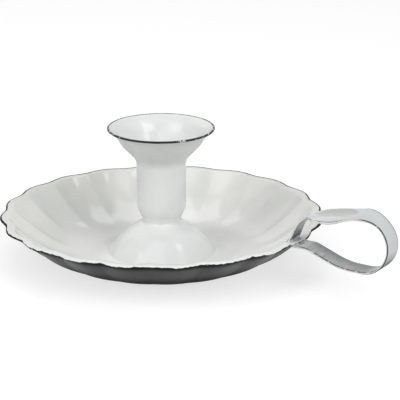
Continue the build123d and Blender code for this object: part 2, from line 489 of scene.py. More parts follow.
def make_dark_coat(place):
    """The colour of the underside, and how far a point lies in its lower part, which is painted
    nearly black as shade.
    """
    across, along, up = split(place)
    mottle = ramp(noise(place, 90.0, 5.0, 0.7), 0.42, 0.66)
    # Painted shade: below this height the dark coat is painted nearly black, where the underside
    # faces the floor.
    low_shade_share = ramp(up, 17 * mm, 8 * mm)
    upper = blend(mottle, dark_coat, dark_coat_worn)
    colour = blend(low_shade_share, upper, blend(mottle, shade_black, mottled_shade_black))
    radius = vector_calc("LENGTH", join(across, along, 0.0))
    off_ring = calc("ABSOLUTE", minus(radius, scuff_radius))
    on_ring = times(ramp(off_ring, 3.2 * mm, 0.6 * mm), ramp(up, 0.6 * mm, 0.2 * mm))
    scuffs = times(ramp(noise(place, 420.0, 4.0, 0.75), 0.47, 0.58), on_ring)
    return blend(scuffs, colour, scuffed_coat), low_shade_share


# %% [markdown]
# The two coats meet at the lip. The mesh carries the distance from the lip's edge, above zero
# inside and below it outside, so their border is a plain comparison. The white ran down to
# one side before it was fired. There it lies thick over the lip, and ends below it in a ragged
# border, with blue-grey spills on the dark. On that side the lip is also painted a brighter,
# cooler white, partly thick glaze and partly painted highlight. Round the other sides it drew
# back from the edge, where the ground coat shows as a thin dark line. At the handle it floods
# the edge, and it has chipped in the corner beside the band.

# %% Two-coat enamel for the pan
pooled_highlight_white = (0.88, 0.895, 0.90, 1.0)
spilt_white = (0.45, 0.48, 0.50, 1.0)
pooled_side = (6.8, -10.1, 0.0)    # times a place, this is 1 on that side of the rim, -1 across
handle_spot = (81.5 * mm, -2.5 * mm, 22.8 * mm)
chipped_spot = (73.4 * mm, 0.6 * mm, 22.8 * mm)


def distance_to(place, spot):
    return vector_calc("LENGTH", vector_calc("SUBTRACT", place, spot))


def outside_border(place, from_edge, round_rim, pooled):
    """1 on the dark side of the border between the coats, 0 on its white side."""
    line_width = between(ramp(round_rim, -0.1, -0.8), 1.35 * mm, 1.85 * mm)
    border = ragged(place, from_edge, between(pooled, 0.8 * mm, 2.8 * mm))
    past_border = minus(border, between(pooled, line_width, 0.15 * mm))
    is_outside = ramp(past_border, 0.09 * mm, -0.09 * mm)
    flooded = ramp(distance_to(place, handle_spot), 6.0 * mm, 4.2 * mm)
    return times(is_outside, minus(1.0, flooded))


def make_pan_enamel():
    material, place = start_enamel("pan_enamel")
    from_edge = surface_number(material, "from_edge")
    round_rim = vector_calc("DOT_PRODUCT", place, pooled_side)
    pooled = ramp(round_rim, 0.1, 0.85)
    inside = specks(place, drifting_white(place, pan_white, pan_deep))
    # Painted highlight, partly thick glaze: on the pooled side the lip is painted a brighter, cooler
    # white.
    lip_highlight_share = times(ramp(from_edge, 3.8 * mm, 2.2 * mm), pooled)
    inside = blend(times(lip_highlight_share, 0.8), inside, pooled_highlight_white)

    outside, low_shade_share = make_dark_coat(place)
    # Painted shadow: for a few millimetres under the lip the dark coat is painted near-black, as the
    # lip's shadow.
    past_lip = ramp(from_edge, -5.6 * mm, -9.5 * mm)
    outside = blend(past_lip, ground_black, outside)
    is_outside = outside_border(place, from_edge, round_rim, pooled)
    colour = blend(is_outside, inside, outside)
    spill = ramp(noise(place, 260.0, 4.0, 0.75), 0.61, 0.65)
    spilt = times(spill, ramp(from_edge, -1.9 * mm, -0.4 * mm), is_outside)
    colour = blend(spilt, colour, spilt_white)
    chips = ramp(noise(place, 620.0, 2.0, 0.6), 0.53, 0.58)
    near_band = ramp(distance_to(place, chipped_spot), 3.4 * mm, 2.2 * mm)
    colour = blend(times(chips, near_band), colour, ground_black)
    dullest = calc("MAXIMUM", low_shade_share, minus(1.0, past_lip))
    is_dull = times(is_outside, calc("MULTIPLY_ADD", dullest, 0.52, 1.0))
    finish_enamel(place, colour, 0.08, is_dull)
    return material


pan_enamel = make_pan_enamel()
print("made", pan_enamel.name)

# %% [markdown]
# ## The pan, plain
# The pan begins as a round dish: a flat foot that stands on the table, a wall that sweeps up
# in one long bend, and a narrow lip turned out level. The section runs from the vent in the
# foot, out along the underside, round the lip and back in over the floor. The vent is off
# centre, so the rings of the flat foot slide sideways towards it, which leaves no seam.

# %% Spin the plain pan
wall_run = rim_radius - lip_width - foot_radius
bowl_bend = (wall_run ** 2 + lip_underside ** 2) / (2 * lip_underside)
bowl_centre = (foot_radius, bowl_bend)
columns_per_flute = 20
flute_count = 20


def bowl_sweep(depth, top, steps=34):
    """Corners up the wall from the foot to a height, at a depth below the outer face."""
    turn = math.degrees(math.acos((bowl_bend - top) / (bowl_bend - depth)))
    return arc_corners(bowl_centre, bowl_bend - depth, -90, -90 + turn, steps)


def with_bend(corner, bend):
    return (corner[0], corner[1], bend)


edge_round = 0.52 * mm
outer_wall = bowl_sweep(0, lip_underside)
inner_wall = bowl_sweep(pan_sheet, rim_height)[::-1]
pan_corners = [
    (vent_radius, 0, 0.3 * mm),
    *outer_wall[:-1],
    with_bend(outer_wall[-1], 0.5 * mm),
    (rim_radius, lip_underside, edge_round),
    (rim_radius, rim_height, edge_round),
    with_bend(inner_wall[0], 2.0 * mm),
    *inner_wall[1:],
    (vent_radius, pan_sheet, 0.3 * mm)]
pan_section = round_corners(pan_corners)


def slide_to_vent(radius):
    """How far sideways a ring of the flat foot lies, so that the smallest is round the vent."""
    inward = (foot_radius - radius) / (foot_radius - vent_radius)
    return -vent_reach * max(0.0, inward)


plain_pan = spin(
    "plain_pan", pan_section, flute_count * columns_per_flute,
    rim_distances(pan_section, Vector((rim_radius, rim_height - pan_sheet / 2))),
    slide_to_vent)

# %% [markdown]
# ## Pressing the flutes
# A fluted die squeezes the dish into twenty lobes, deepest at the rim and gone before the
# foot. That is a rule about every point's place, so it suits Geometry Nodes: the tree reads
# a point's radius and angle, works out how far the lobe's wave falls short there, and pulls
# the point in by that much. The absolute cosine, raised to a power between one and two,
# gives round lobes with narrow notches, and a lower power makes them sharper below the lip.
# There the inner face is pressed a little deeper than the outer one, as enamel fills the
# hollows behind. A slow noise adds the slight unevenness of ware that was pressed by hand
# and warped a little in the kiln.

# %% Build the flute tree and press the pan
def end_tree(tree, geometry, given):
    """Realizes the result, gives it its material and sends it out."""
    real = add(tree, "GeometryNodeRealizeInstances", geometry)
    coated = add(tree, "GeometryNodeSetMaterial", real, None, given["Material"])
    add(tree, "NodeGroupOutput", coated, output=None)


def carried_number(tree, name):
    """A number that the mesh carries at each point, read in a geometry tree."""
    return add(tree, "GeometryNodeInputNamedAttribute", name, data_type="FLOAT")


def make_flute_tree():
    tree, given = geometry_tree("press_flutes", [
        "Count", "Depth", "Rim Crease", "Wall Crease", "Start", "Full", "Wall Top", "Wall Middle",
        "Inner Swell", "Outer Swell", "Turn", "Unevenness"])
    place = add(tree, "GeometryNodeInputPosition")
    across, along, up = split(place)
    flat = join(across, along, 0.0)
    radius = vector_calc("LENGTH", flat)
    angle = minus(calc("ARCTAN2", along, across), given["Turn"])
    half_waves = times(angle, given["Count"], 0.5)
    below_lip = ramp(radius, given["Wall Top"], given["Wall Middle"])
    crease = between(below_lip, given["Rim Crease"], given["Wall Crease"])
    wave = calc("POWER", calc("ABSOLUTE", calc("COSINE", half_waves)), crease)
    fade = ramp(radius, given["Start"], given["Full"])
    is_outer = ramp(carried_number(tree, "from_edge"), 0.0, -3 * mm)
    swell = between(is_outer, given["Inner Swell"], given["Outer Swell"])
    deeper = calc("MULTIPLY_ADD", below_lip, swell, 1.0)
    pull = times(minus(1.0, wave), given["Depth"], times(fade, deeper))
    warp = minus(noise(place, 21.0, 1.0), 0.5)
    warp = times(warp, given["Unevenness"], fade)
    pulled = scaled(vector_calc("NORMALIZE", flat), minus(warp, pull))
    offset = vector_calc("ADD", pulled, join(0.0, 0.0, warp))
    moved = add(tree, "GeometryNodeSetPosition", given["Geometry"], None, None, offset)
    end_tree(tree, moved, given)
    return tree


flute_depth = 1.9 * mm
flute_turn = math.radians(2.9)
rim_crease = 1.57
pan_mesh = run_tree(plain_pan, make_flute_tree(), {
    "Count": float(flute_count), "Depth": flute_depth, "Rim Crease": rim_crease, "Wall Crease": 1.15,
    "Start": 38 * mm, "Full": 74 * mm, "Wall Top": 80 * mm, "Wall Middle": 68 * mm,
    "Inner Swell": 0.6, "Outer Swell": -0.35, "Turn": flute_turn, "Unevenness": 0.5 * mm,
    "Material": pan_enamel})
bpy.data.objects.remove(plain_pan)
pan = finish_mesh("pan_dish", pan_mesh)
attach(pan, "root")
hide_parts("pan")

# %% [markdown]
# ## The pedestal
# A bell-shaped pressing carries the socket. Its section is an open path, the outer face of
# the sheet, so it needs a wall. Solidify could add one, but offsetting the section first
# keeps the ends square and lets their corners be rounded as the enamel rounds them. The
# section's last part is the level edge that lies on the pan's floor.

# %% Give a section's path a wall, and spin the pedestal
def wall(path, sheet, start_bend, end_bend):
    """The closed section of sheet metal that lies on the right of a path."""
    inner = []
    for index, point in enumerate(path):
        before = path[max(index - 1, 0)]
        after = path[min(index + 1, len(path) - 1)]
        along = (after - before).normalized()
        inner.append(point + sheet * Vector((along.y, -along.x)))
    corners = [(point.x, point.y, 0) for point in path + inner[::-1]]
    last = len(path) - 1
    for index, bend in ((0, start_bend), (-1, start_bend), (last, end_bend), (last + 1, end_bend)):
        corners[index] = with_bend(corners[index], bend)
    return round_corners(corners)


def pan_floor(radius):
    """Height of the pan's upper face inside the flutes."""
    run = max(0.0, radius - foot_radius)
    return bowl_bend - math.sqrt((bowl_bend - pan_sheet) ** 2 - run ** 2)


pedestal_sheet = 1.0 * mm
floor_clearance = 0.12 * mm
collar_radius = 9.9 * mm
collar_foot = collar_top - 1.2 * mm
belly_radius = 19.4 * mm
belly_drop = 6.3 * mm
foot_flange = 2.1 * mm
foot_top = pan_floor(pedestal_foot_radius) + floor_clearance + pedestal_sheet
bell_path = round_corners([
    (collar_radius, collar_top, 0),
    (collar_radius, collar_foot, 1.4 * mm),
    (belly_radius, collar_foot - belly_drop, 40 * mm),
    (pedestal_foot_radius - foot_flange, foot_top, 3 * mm),
    (pedestal_foot_radius, foot_top, 0)], closed=False, steps_per_quarter=40)
spin_steps = 224
pedestal = spin("pedestal_bell", wall(bell_path, pedestal_sheet, 0.2 * mm, 0.42 * mm), spin_steps)

# %% [markdown]
# ## The candle socket
# The socket is a drawn cup: a straight tube that ends in half a ball. Its section starts and
# ends on the axis, so the two poles close by themselves. The outside shows between the drip
# cup and the pedestal, and the inside shows to anyone who looks down the tube.

# %% Spin the socket
socket_sheet = 1.1 * mm
ball_height = socket_floor + socket_radius
ball_centre = (0, ball_height)
ball_steps = 26
outer_ball = arc_corners(ball_centre, socket_radius, -90, 0, ball_steps)
inner_ball = arc_corners(ball_centre, socket_radius - socket_sheet, 0, -90, ball_steps)
outer_ball[0] = (0, outer_ball[0][1], 0)
inner_ball[-1] = (0, inner_ball[-1][1], 0)
socket_section = round_corners([
    *outer_ball,
    (socket_radius, tube_top, 0),
    (socket_radius - socket_sheet, tube_top, 0),
    *inner_ball], closed=False)
socket = spin("socket_tube", socket_section, spin_steps)

# %% [markdown]
# ## The drip cup
# A flared funnel butts onto the tube and turns back the running wax. Its free edge carries
# the dark rim line, so its mesh needs the distance from that edge. The path runs from the
# rim down, which puts the wall on the inside.

# %% Spin the drip cup
cup_radius = 27.3 * mm
cup_height = 67.6 * mm
flare_height = 51.6 * mm
cup_path = round_corners([
    (cup_radius, cup_height, 0),
    (23.6 * mm, 64.8 * mm, 8 * mm),
    (20.2 * mm, 59.7 * mm, 10 * mm),
    (socket_radius, flare_height, 6 * mm),
    (socket_radius, neck_height, 0)], closed=False, steps_per_quarter=24)
cup_section = wall(cup_path, socket_sheet, 0.5 * mm, 0)
cup_slope = (cup_path[0] - cup_path[1]).normalized()
rim_middle = cup_path[0] + socket_sheet / 2 * Vector((-cup_slope.y, cup_slope.x))
drip_cup = spin("drip_cup_flare", cup_section, spin_steps, rim_distances(cup_section, rim_middle))
print("drip cup rim", round(rim_middle.x / mm, 2), round(rim_middle.y / mm, 2))

# %% [markdown]
# ## Joints under the enamel
# Three rings join the spun pieces: the weld that fills the gap between tube and drip cup,
# the braze where the ball rests in the pedestal's collar, and the seam round the pedestal's
# foot. Enamel floods such corners and sets in a hollow curve, so two of the rings have a
# concave face, and round the foot it runs out flat over the pan's floor. A ring's section is
# a handful of points, and spinning it is the short way.

# %% Spin the three rings
def hollow_curve(start, pull, end, steps=8):
    """Points of a curve that leaves start towards pull and bends round to end."""
    points = []
    for step in range(steps + 1):
        share = step / steps
        points.append(
            (1 - share) ** 2 * Vector(start) + 2 * share * (1 - share) * Vector(pull)
            + share ** 2 * Vector(end))
    return points


bore = socket_radius - socket_sheet
cup_weld = spin("drip_cup_weld", [
    (bore, tube_top), (socket_radius, tube_top),
    (socket_radius, neck_height), (bore, neck_height)], spin_steps)

braze_top = collar_top + 2.2 * mm
braze_reach = math.sqrt(socket_radius ** 2 - (ball_height - braze_top) ** 2) + 0.03 * mm
braze = spin("socket_fillet", [
    *hollow_curve(
        (collar_radius + 0.03 * mm, collar_top - 0.7 * mm),
        (collar_radius - 0.05 * mm, collar_top + 0.5 * mm),
        (braze_reach, braze_top)),
    (braze_reach - 1.2 * mm, braze_top),
    (collar_radius - 0.6 * mm, collar_top + 0.1 * mm),
    (collar_radius - 0.6 * mm, collar_top - 0.7 * mm)], spin_steps)

seam_foot = pedestal_foot_radius + 6.5 * mm
seam_pull = pedestal_foot_radius + 1.0 * mm
seam_top = next(point for point in bell_path if point.x > pedestal_foot_radius - 3.2 * mm)
foot_seam = spin("pedestal_seam", [
    *hollow_curve(
        (seam_foot, pan_floor(seam_foot) + 0.01 * mm),
        (seam_pull, pan_floor(seam_pull) + 0.4 * mm),
        (seam_top.x, seam_top.y + 0.02 * mm), 14),
    (seam_top.x, foot_top - 0.5 * mm),
    (pedestal_foot_radius - 0.6 * mm, pan_floor(pedestal_foot_radius) - 0.1 * mm),
    (seam_foot - 0.1 * mm, pan_floor(seam_foot) - 0.2 * mm)], spin_steps)

spun_pieces = {
    pedestal: "pedestal", socket: "candle_socket", drip_cup: "drip_cup",
    cup_weld: "drip_cup_seam", braze: "socket_braze", foot_seam: "pedestal_foot_seam"}
for piece, node in spun_pieces.items():
    piece.data.materials.append(white_enamel)
    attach(piece, "root")
    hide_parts(node)

# %% [markdown]
# ## The handle's route
# One band of sheet, bent over a former, makes the handle: up from the lip, over a long easy
# crown, round the end and back under the lip. The route is drawn as a bender would mark it,
# corner by corner, and each corner's bend radius is stored as the curve point's own radius.
# A Fillet Curve node rounds the corners later.

# %% Draw the route with its corners
strap_sheet = 1.0 * mm
end_bend = (loop_top - loop_bottom) / 2
landing_reach = rim_radius - 5.1 * mm
leg_slope = math.tan(math.radians(23))
crown_bend = 88 * mm
crown_run = 27.2 * mm
crown_turn = math.asin(crown_run / crown_bend)
crown_reach = loop_reach - end_bend - crown_bend * math.tan(crown_turn / 2)
to_crown = loop_top - rim_height - (crown_reach - landing_reach) * math.tan(crown_turn)
shoulder_rise = to_crown / (1 - leg_slope * math.tan(crown_turn))
tuck_height = lip_underside - strap_sheet
tuck_reach = rim_radius - 2.4 * mm
sink_in = 1.4 * mm
route_corners = [
    (landing_reach - sink_in * leg_slope, rim_height - sink_in, 0),
    (landing_reach + shoulder_rise * leg_slope, rim_height + shoulder_rise, 14 * mm),
    (crown_reach, loop_top, crown_bend),
    (loop_reach, loop_top, end_bend),
    (loop_reach, loop_bottom, end_bend),
    (loop_reach - 25.5 * mm, loop_bottom, 36 * mm),
    (rim_radius + 5.5 * mm, tuck_height, 8 * mm),
    (tuck_reach, tuck_height, 0)]


def draw_route(corners):
    line = bpy.data.curves.new("strap_route", "CURVE")
    line.dimensions = "3D"
    spline = line.splines.new("POLY")
    spline.points.add(len(corners) - 1)
    for point, (across, up, bend) in zip(spline.points, corners):
        point.co = (across, 0, up, 1)
        point.radius = bend
    return add_object("strap_route", line)


route = draw_route(route_corners)
print("shoulder rise", round(shoulder_rise / mm, 2), "crown corner", round(crown_reach / mm, 2))

# %% [markdown]
# ## The strap's blank
# Before it is bent, the band is a flat blank with rounded edges. Its mesh is laid out in
# shares: X runs from 0 to 1 along the band, Y from -1 to 1 across its flat, and Z is the real
# depth below the outer face. Two numbers ride along: how far a point stands out past the
# flat, in the rounded edge, and which face it is on, which the enamel reads later.

# %% Lay out the blank
def blank_section(sheet, edge_radius, flat_steps=40, edge_steps=5):
    """Points round the band's section: (across, past the flat, depth, face).

    Face is 1 on the outer face and -1 on the inner one.
    """
    flat = [(2 * step / flat_steps - 1, 0.0, 0.0, 1.0) for step in range(flat_steps + 1)]
    rounding = []
    for step in range(1, edge_steps + 1):
        turn = math.pi / 2 * step / edge_steps
        rounding.append((edge_radius * math.sin(turn), edge_radius * (1 - math.cos(turn))))
    near = [(-1.0, -past, depth, 0.0) for past, depth in reversed(rounding)]
    far = [(1.0, past, depth, 0.0) for past, depth in rounding]
    outer_half = near + flat + far
    inner_half = [
        (-across, -past, sheet - depth, -face) for across, past, depth, face in outer_half]
    return outer_half + inner_half


def skin(work, rings):
    """Faces between rings of points that follow one another, and a cap on each end."""
    for ring, following in zip(rings, rings[1:]):
        for index in range(len(ring)):
            other = (index + 1) % len(ring)
            work.faces.new([ring[index], ring[other], following[other], following[index]])
    work.faces.new(rings[0])
    work.faces.new(rings[-1][::-1])


def make_blank(sheet, edge_radius, lengthways=420):
    blank = bmesh.new()
    past_layer = blank.verts.layers.float.new("past_flat")
    face_layer = blank.verts.layers.float.new("face")
    section = blank_section(sheet, edge_radius)
    rings = []
    for station in range(lengthways + 1):
        ring = []
        for across, past, depth, face in section:
            vertex = blank.verts.new((station / lengthways, across, depth))
            vertex[past_layer] = past
            vertex[face_layer] = face
            ring.append(vertex)
        rings.append(ring)
    skin(blank, rings)
    return add_object("strap_blank", to_mesh("strap_blank", blank))


strap_edge = 0.42 * mm
blank = make_blank(strap_sheet, strap_edge)
print("blank faces", len(blank.data.polygons))

# %% [markdown]
# ## Bending the blank
# The tree rounds the route's corners, then looks up a place and a heading on it for every
# point of the blank. The heading and the world's Y axis give the direction that points out
# of the loop. The width grows from the narrow leg to the thumb rest and falls again on the
# end bend. On the thumb rest the edges are rolled down, and a shallow oval is pressed in.
# All of that is a rule on each point's place, so the band stays one mesh from end to end.

# %% The rules for route, width and thumb rest
def route_frames(tree, given, share):
    """A place on the rounded route, at a share of its length, its heading and its way out."""
    shape = add(tree, "GeometryNodeObjectInfo", given["Route"], output="Geometry")
    rounded = tree.nodes.new("GeometryNodeFilletCurve")
    feed(rounded.inputs["Curve"], shape)
    feed(rounded.inputs["Radius"], add(tree, "GeometryNodeInputRadius"))
    rounded.mode = "POLY"
    rounded.inputs["Count"].default_value = 48
    sample = tree.nodes.new("GeometryNodeSampleCurve")
    sample.mode = "FACTOR"
    feed(sample.inputs["Curves"], rounded.outputs[0])
    feed(sample.inputs["Factor"], share)
    outward = vector_calc("CROSS_PRODUCT", sample.outputs["Tangent"], (0.0, 1.0, 0.0))
    return sample.outputs["Position"], sample.outputs["Tangent"], outward


def band_width(given, reach, height, on_upper):
    """The band's width at a place on the route."""
    climbed = calc("DIVIDE", minus(height, given["Rim Height"]), given["Shoulder Rise"])
    low = calc("SUBTRACT", 1.0, climbed, clamp=True)
    leg = between(low, given["Leg Width"], given["Landing Width"])
    widening = ramp(reach, given["Widen From"], given["Widen To"])
    widened = between(widening, leg, given["Thumb Width"])
    narrowed = ramp(reach, given["Narrow From"], given["Narrow To"])
    upper = between(narrowed, widened, given["Width"])
    return between(on_upper, given["Width"], upper)


def thumb_sink(given, reach, across, sideways, on_upper):
    """How far the rolled edges and the pressed oval lie below the band, and where the oval is."""
    off_centre = calc("ABSOLUTE", minus(reach, given["Thumb Place"]))
    fading = calc("MINIMUM", calc("DIVIDE", off_centre, given["Roll Reach"]), 1.0)
    wave = calc("COSINE", times(fading, math.pi))
    swell = calc("MULTIPLY_ADD", wave, 0.5, 0.5)
    edge = calc("POWER", calc("ABSOLUTE", across), 7.0)
    roll = times(given["Thumb Roll"], swell, edge)
    lengthways = calc("DIVIDE", off_centre, times(given["Oval Length"], 0.5))
    crossways = calc("DIVIDE", sideways, times(given["Oval Width"], 0.5))
    in_oval = calc("ADD", calc("POWER", lengthways, 2.0), times(crossways, crossways))
    hollow = calc("POWER", calc("SUBTRACT", 1.0, in_oval, clamp=True), 0.7)
    sink = calc("ADD", roll, times(given["Thumb Press"], hollow))
    return times(sink, on_upper), times(hollow, on_upper)


# %% [markdown]
# With these rules the tree is short: place every point, and leave on each the numbers that
# the enamel will read.

# %% Build the bending tree
def keep(geometry, name, value):
    """Stores a number on every point under a name that a material can read."""
    store = tree_of(geometry).nodes.new("GeometryNodeStoreNamedAttribute")
    for label, given_value in (("Name", name), ("Geometry", geometry), ("Value", value)):
        feed(store.inputs[label], given_value)
    return store.outputs[0]


def make_bending_tree():
    tree, given = geometry_tree("bend_strap", [
        "Width", "Landing Width", "Leg Width", "Thumb Width", "Widen From", "Widen To",
        "Narrow From", "Narrow To", "Thumb Place", "Roll Reach", "Thumb Roll", "Thumb Press",
        "Oval Length", "Oval Width", "Rim Height", "Shoulder Rise", "Edge"])
    tree.interface.new_socket("Route", in_out="INPUT", socket_type="NodeSocketObject")
    share, across, depth = split(add(tree, "GeometryNodeInputPosition"))
    spot, heading, outward = route_frames(tree, given, share)
    reach, _, height = split(spot)
    on_upper = calc("GREATER_THAN", split(heading)[0], 0.0)
    width = band_width(given, reach, height, on_upper)
    flat_half = minus(times(width, 0.5), given["Edge"])
    sideways = calc("MULTIPLY_ADD", across, flat_half, carried_number(tree, "past_flat"))
    sink, oval = thumb_sink(given, reach, across, sideways, on_upper)
    inward = scaled(outward, times(calc("ADD", sink, depth), -1.0))
    beside = join(0.0, sideways, 0.0)
    place = vector_calc("ADD", vector_calc("ADD", spot, inward), beside)
    flat = given["Geometry"]
    for name, value in (("along", share), ("across", across), ("depth", depth), ("in_oval", oval)):
        flat = keep(flat, name, value)
    bent = add(tree, "GeometryNodeSetPosition", flat, None, place)
    end_tree(tree, bent, given)
    return tree


bending_tree = make_bending_tree()
print("bending tree nodes", len(bending_tree.nodes))

# %% [markdown]
# ### The band's enamel
# The band was dipped white as well, but its two faces don't look alike: the outer face is a
# cool white, and the inner face is greyer and shows the cross-wise marks of the bending rollers
# through a thin coat. Shade is painted onto the inner face: darker towards its far side and at
# the bottom of the end bend, and nearly black on the leg inside the pan. Where the band is
# lowest, its outer face is painted nearly black as painted shade. The patterns
# follow the band by the numbers that the bending tree stored: along it from 0 to 1, across
# it from -1 to 1, the face, and the depth below the outer face.

# %% The inner face of the band
roller_mark = (0.38, 0.405, 0.405, 1.0)
inner_white = (0.56, 0.585, 0.58, 1.0)
far_shade_grey = (0.19, 0.205, 0.205, 1.0)
bend_shade_grey = (0.15, 0.16, 0.16, 1.0)
leg_shade_black = (0.04, 0.042, 0.044, 1.0)


def make_inner_coat(along, across):
    lines = join(times(along, 165.0), times(across, 0.55), 0.0)
    marks = ramp(noise(lines, 1.0, 3.0, 0.7), 0.34, 0.66)
    colour = blend(marks, roller_mark, inner_white)
    # Painted shade: the inner face darkens towards its far side and at the bottom of the end bend,
    # and turns nearly black on the leg inside the pan and at its foot.
    far_side = ramp(across, -0.6, 0.95)
    colour = blend(times(far_side, 0.75), colour, far_shade_grey)
    low_bend = stretch(along, 0.60, 0.68, 0.72, 0.80)
    colour = blend(times(low_bend, 0.45), colour, bend_shade_grey)
    on_leg = times(ramp(along, 0.22, 0.12), 0.52)
    at_foot = times(ramp(along, 0.06, 0.03), 0.9)
    return blend(calc("MAXIMUM", on_leg, at_foot), colour, leg_shade_black)


# %% [markdown]
# Along the bend and the lower arm the white has worn off the corners of the sheet's edge, in
# broken dark lines. A stretched noise breaks them: it changes fast along the band and hardly
# at all across the edge. The thumb rest's oval is painted a shade darker, as painted shade in
# the pressed hollow, and the far edge of the outer face shows the ground coat as a thin line.

# %% Enamel for the band
band_white = (0.66, 0.69, 0.695, 1.0)
band_deep = (0.57, 0.60, 0.605, 1.0)
oval_shade_grey = (0.42, 0.425, 0.405, 1.0)
tuck_white = (0.72, 0.74, 0.74, 1.0)
under_loop_black = (0.030, 0.032, 0.033, 1.0)
edge_grey = (0.10, 0.11, 0.11, 1.0)
side_white = (0.80, 0.81, 0.79, 1.0)
low_side_white = (0.84, 0.85, 0.84, 1.0)


def worn_corners(along, across, depth, lower_arm):
    """1 on the broken lines along the corners of the sheet's edge."""
    place = join(times(along, 30.0), depth, across)
    broken = noise(place, 1.0, 3.0, 0.7)
    often, half, rarely = [ramp(broken, start, start + 0.06) for start in (0.34, 0.43, 0.50)]
    round_bend = stretch(along, 0.35, 0.40, 0.66, 0.72)
    bend_line = times(ramp(depth, 0.42 * mm, 0.32 * mm), round_bend, often)
    arm_line = times(ramp(depth, 0.70 * mm, 0.78 * mm), lower_arm, half)
    from_middle = calc("ABSOLUTE", minus(depth, strap_sheet / 2))
    thin_line = times(ramp(from_middle, 0.30 * mm, 0.36 * mm), between(rarely, 0.3, 0.8))
    clean = times(lower_arm, ramp(depth, 0.6 * mm, 0.4 * mm))
    thin_line = times(thin_line, minus(1.0, clean))
    return calc("MAXIMUM", calc("MAXIMUM", bend_line, arm_line), thin_line)


def make_band_enamel():
    material, place = start_enamel("band_enamel")
    along, across, face, depth, in_oval = [
        surface_number(material, name) for name in ("along", "across", "face", "depth", "in_oval")]
    outer = drifting_white(place, band_white, band_deep)
    on_inner = ramp(face, 0.5, -0.5)
    colour = blend(on_inner, outer, make_inner_coat(along, across))
    # Painted shade: the pressed oval of the thumb rest is painted darker grey.
    oval_shade = times(ramp(in_oval, 0.0, 0.35), 0.8)
    colour = blend(oval_shade, colour, oval_shade_grey)
    colour = blend(ramp(along, 0.93, 0.985), colour, tuck_white)
    # Painted shade: the outer face is painted nearly black where it faces down, under the end bend
    # and along the lower arm.
    under_loop_shade = times(stretch(along, 0.55, 0.635, 0.80, 0.88), minus(1.0, on_inner))
    colour = blend(under_loop_shade, colour, under_loop_black)
    far_edge, near_edge = ramp(across, 0.87, 0.93), ramp(across, -0.965, -0.99)
    thin_edge = times(calc("MAXIMUM", far_edge, near_edge), 0.7)
    colour = blend(thin_edge, colour, edge_grey)

    on_side = ramp(calc("ABSOLUTE", face), 0.6, 0.3)
    lower_arm = stretch(along, 0.60, 0.66, 0.95, 0.99)
    colour = blend(on_side, colour, blend(lower_arm, side_white, low_side_white))
    worn = times(worn_corners(along, across, depth, lower_arm), on_side)
    colour = blend(worn, colour, ground_black)
    is_dull = times(calc("MAXIMUM", under_loop_shade, worn), 1.5)
    finish_enamel(place, colour, 0.12, is_dull)
    return material


band_enamel = make_band_enamel()
print("made", band_enamel.name)

# %% Bend the strap
strap_mesh = run_tree(blank, bending_tree, {
    "Width": 11.2 * mm, "Landing Width": 10.6 * mm, "Leg Width": 8 * mm, "Thumb Width": 20.8 * mm,
    "Widen From": loop_reach - 46 * mm, "Widen To": loop_reach - 38 * mm,
    "Narrow From": loop_reach - 22 * mm, "Narrow To": loop_reach - 3 * mm,
    "Thumb Place": loop_reach - 30 * mm, "Roll Reach": 14 * mm, "Thumb Roll": 2.5 * mm,
    "Thumb Press": 0.8 * mm, "Oval Length": 22.5 * mm, "Oval Width": 14 * mm,
    "Rim Height": rim_height, "Shoulder Rise": shoulder_rise, "Edge": strap_edge,
    "Route": route, "Material": band_enamel})
bpy.data.objects.remove(blank)
bpy.data.objects.remove(route)
strap = finish_mesh("handle_loop", strap_mesh, sharp_degrees=60)
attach(strap, "root")
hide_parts("handle_strap")
print("strap box", [round(side / mm, 2) for side in strap.dimensions])

# %% [markdown]
# ## The two welds on the lip
# The band is held by a bead of weld at each end, drowned in enamel that also fills the other
# side of each corner. A bead is a small hollow wedge that fades away towards its ends.
# Sweeping one short section across the band and shrinking it near the ends gives that form,
# and a little noise, with a fixed seed, makes it look run, not cut. The rim is fluted, so a
# wedge that lies against it follows the flute's curve.

# %% Shape a bead
def flute_pull(sideways):
    """How far the lobe beside the handle falls back from its crest, off the X axis."""
    angle = math.atan2(sideways, rim_radius) - flute_turn
    return flute_depth * (1 - abs(math.cos(flute_count * angle / 2)) ** rim_crease)


def add_wedge(bead, corner, along_toe, along_side, half_length, follow=0.0, slices=28):
    """A wedge of weld in a corner, between two short legs given as (across, up) steps."""
    rings = []
    for step in range(slices + 1):
        share = 2 * step / slices - 1
        sideways = share * half_length
        size = max(0.04, 1 - abs(share) ** 5)
        here = Vector(corner) - Vector((follow * flute_pull(sideways), 0))
        toe = here + size * Vector(along_toe)
        side = here + size * Vector(along_side)
        middle = here + 0.22 * size * (Vector(along_toe) + Vector(along_side))
        back = here - 0.3 * (Vector(along_toe) + Vector(along_side))
        points = [*hollow_curve(toe, middle, side, 7), back]
        rings.append([bead.verts.new((point.x, sideways, point.y)) for point in points])
    skin(bead, rings)


def lay_beads(name, wedges, lumps):
    """One piece from several wedges, with small lumps on its surface."""
    bead = bmesh.new()
    layer = bead.verts.layers.float.new("from_edge")
    for wedge in wedges:
        add_wedge(bead, **wedge)
    for vertex in bead.verts:
        vertex[layer] = 1.0
        vertex.co += lumps * turbulence_vector(vertex.co * 700, 2, False)
    bmesh.ops.recalc_face_normals(bead, faces=bead.faces)
    return finish_mesh(name, to_mesh(name, bead), sharp_degrees=75)


# %% [markdown]
# The white is thin and blue-grey over the welds, and it has burnt through to the ground coat
# in places. The upper weld has one wedge on each side of the band's leg. The lower weld has
# one at the band's end, under the lip, and one on the band against the lip's edge.

# %% Lay the beads
thin_white = (0.62, 0.65, 0.66, 1.0)
thin_blue = (0.27, 0.30, 0.315, 1.0)


def make_weld_enamel():
    material, place = start_enamel("weld_enamel")
    cloudy = ramp(noise(place, 300.0, 3.0, 0.6), 0.36, 0.62)
    burnt = ramp(noise(place, 430.0, 3.0, 0.7), 0.56, 0.61)
    colour = blend(burnt, blend(cloudy, thin_blue, thin_white), ground_black)
    finish_enamel(place, colour, 0.14)
    return material


